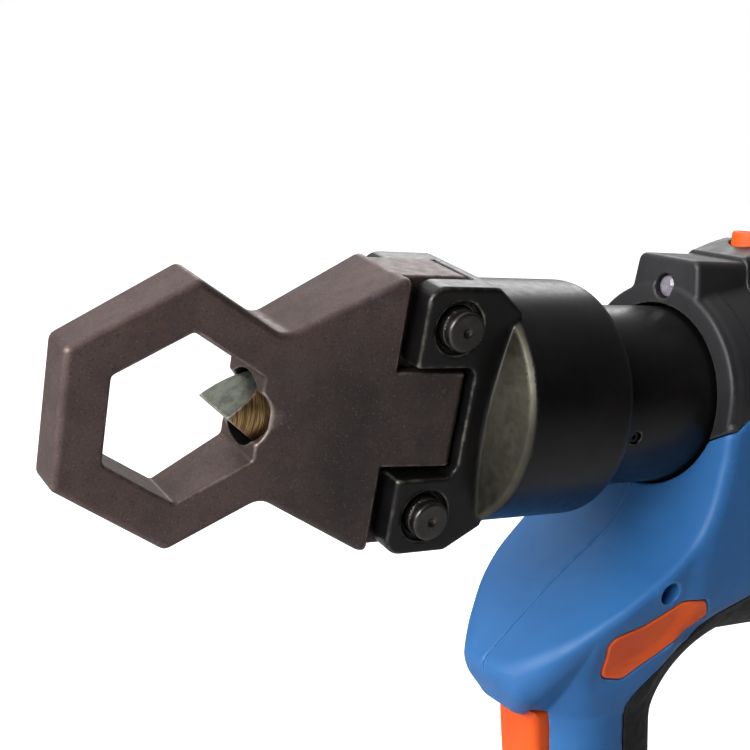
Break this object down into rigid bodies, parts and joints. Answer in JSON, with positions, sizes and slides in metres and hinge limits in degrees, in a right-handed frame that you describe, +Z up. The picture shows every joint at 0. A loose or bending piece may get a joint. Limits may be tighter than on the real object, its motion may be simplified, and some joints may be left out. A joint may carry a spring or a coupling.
{
  "type": "rescue cutter",
  "caption": "Cordless hydraulic rescue cutter: a hexagonal ring head with a ram-driven chisel blade, a swivelling cylinder, a pistol grip and a slide-on battery.",
  "frame": {"origin": "centre of the battery's flat underside, which the tool stands on", "axes": "+Z up, +X rearward along the ram axis so that the nose points to -X, +Y to the tool's right"},
  "size_m": [0.3244, 0.077, 0.2825],
  "materials": {
    "forged_steel": "forged, brown-grey oxide, satin",
    "black_oxide": "black oxide, semi-gloss",
    "ground_steel": "ground tool steel",
    "bright_steel": "machined",
    "bronze": "machined bearing bronze",
    "cast_aluminium": "as cast and machined",
    "blue_nylon": "fine moulded texture",
    "black_nylon": "fine moulded texture",
    "grip_rubber": "matt soft-touch",
    "seal_rubber": "smooth",
    "orange_plastic": "satin moulded",
    "lens": "clear",
    "circuit_board": "solder mask",
    "cell_wrap": "printed sleeve over a metal can"
  },
  "bodies": {
    "housing": {"left_shell": "blue_nylon", "right_shell": "blue_nylon", "front_bezel": "black_nylon", "top_cover": "black_nylon", "rear_cap": "black_nylon", "grip_overmould": "grip_rubber", "inlay_left": "orange_plastic", "inlay_right": "orange_plastic", "led_lens": "lens", "shell_screw_1": "black_oxide", "shell_screw_2": "black_oxide", "shell_screw_3": "black_oxide", "shell_screw_4": "black_oxide", "shell_screw_5": "black_oxide", "pump_body": "cast_aluminium", "relief_valve": "bronze", "oil_bladder": "seal_rubber", "swivel_ring": "bright_steel", "ring_gear": "bright_steel", "motor_can": "cast_aluminium", "trigger_switch": "black_nylon", "trigger_spring": "bright_steel", "control_board": "circuit_board", "battery_shoe": "black_nylon"},
    "head": {"cutter_head": "forged_steel", "cylinder_body": "black_oxide", "head_pin_upper": "black_oxide", "head_pin_lower": "black_oxide", "pin_clip_upper": "bright_steel", "pin_clip_lower": "bright_steel", "gland_bush": "bronze", "neck_set_screw": "black_oxide", "return_spring": "bright_steel"},
    "ram": {"blade": "ground_steel", "ram_piston": "bright_steel", "piston_seal": "seal_rubber", "blade_retaining_pin": "bright_steel"},
    "trigger": {"trigger": "orange_plastic"},
    "release": {"release_button": "orange_plastic"},
    "plunger": {"pump_plunger": "bright_steel"},
    "carrier": {"planet_carrier": "bright_steel", "eccentric_shaft": "bright_steel", "eccentric_bearing": "bright_steel"},
    "planet_1": {"planet_gear_1": "bright_steel"},
    "planet_2": {"planet_gear_2": "bright_steel"},
    "planet_3": {"planet_gear_3": "bright_steel"},
    "rotor": {"motor_rotor": "bright_steel", "sun_gear": "bright_steel"},
    "battery": {"battery_case_top": "black_nylon", "battery_case_bottom": "black_nylon", "battery_terminals": "bronze", "cell_1": "cell_wrap", "cell_2": "cell_wrap", "cell_3": "cell_wrap", "cell_4": "cell_wrap", "cell_5": "cell_wrap"},
    "latch": {"battery_latch": "orange_plastic"}
  },
  "joints": [
    {"name": "head_swivel", "type": "hinge", "parent": "housing", "child": "head", "pos_m": [-0.042, 0, 0.236], "axis": [1, 0, 0], "range_deg": [-175, 175]},
    {"name": "ram_slide", "type": "slide", "parent": "head", "child": "ram", "axis": [-1, 0, 0], "range_m": [-0.0075, 0.0255], "deforming": ["return_spring"]},
    {"name": "trigger_pull", "type": "slide", "parent": "housing", "child": "trigger", "axis": [1, 0, 0], "range_m": [0, 0.006], "stiffness_N_per_m": 600, "deforming": ["trigger_spring"]},
    {"name": "release_press", "type": "slide", "parent": "housing", "child": "release", "axis": [0, 0, -1], "range_m": [0, 0.003], "stiffness_N_per_m": 800},
    {"name": "plunger_stroke", "type": "slide", "parent": "housing", "child": "plunger", "axis": [0, 0, -1], "range_m": [0, 0.003], "stiffness_N_per_m": 1500},
    {"name": "rotor_spin", "type": "hinge", "parent": "housing", "child": "rotor", "pos_m": [0.088, 0, 0.236], "axis": [1, 0, 0], "continuous": true},
    {"name": "carrier_spin", "type": "hinge", "parent": "housing", "child": "carrier", "pos_m": [0.053, 0, 0.236], "axis": [1, 0, 0], "continuous": true},
    {"name": "planet_1_spin", "type": "hinge", "parent": "carrier", "child": "planet_1", "pos_m": [0.061, 0.012, 0.236], "axis": [1, 0, 0], "continuous": true},
    {"name": "planet_2_spin", "type": "hinge", "parent": "carrier", "child": "planet_2", "pos_m": [0.061, -0.006, 0.24639], "axis": [1, 0, 0], "continuous": true},
    {"name": "planet_3_spin", "type": "hinge", "parent": "carrier", "child": "planet_3", "pos_m": [0.061, -0.006, 0.22561], "axis": [1, 0, 0], "continuous": true},
    {"name": "battery_slide", "type": "slide", "parent": "housing", "child": "battery", "axis": [-1, 0, 0], "range_m": [0, 0.09]},
    {"name": "latch_press", "type": "slide", "parent": "battery", "child": "latch", "axis": [0, 0, -1], "range_m": [0, 0.0035], "stiffness_N_per_m": 1200}
  ],
  "couplings": [
    {"joint": "carrier_spin", "follows": "rotor_spin", "ratio": 0.25},
    {"joint": "planet_1_spin", "follows": "rotor_spin", "ratio": -0.75},
    {"joint": "planet_2_spin", "follows": "rotor_spin", "ratio": -0.75},
    {"joint": "planet_3_spin", "follows": "rotor_spin", "ratio": -0.75}
  ]
}
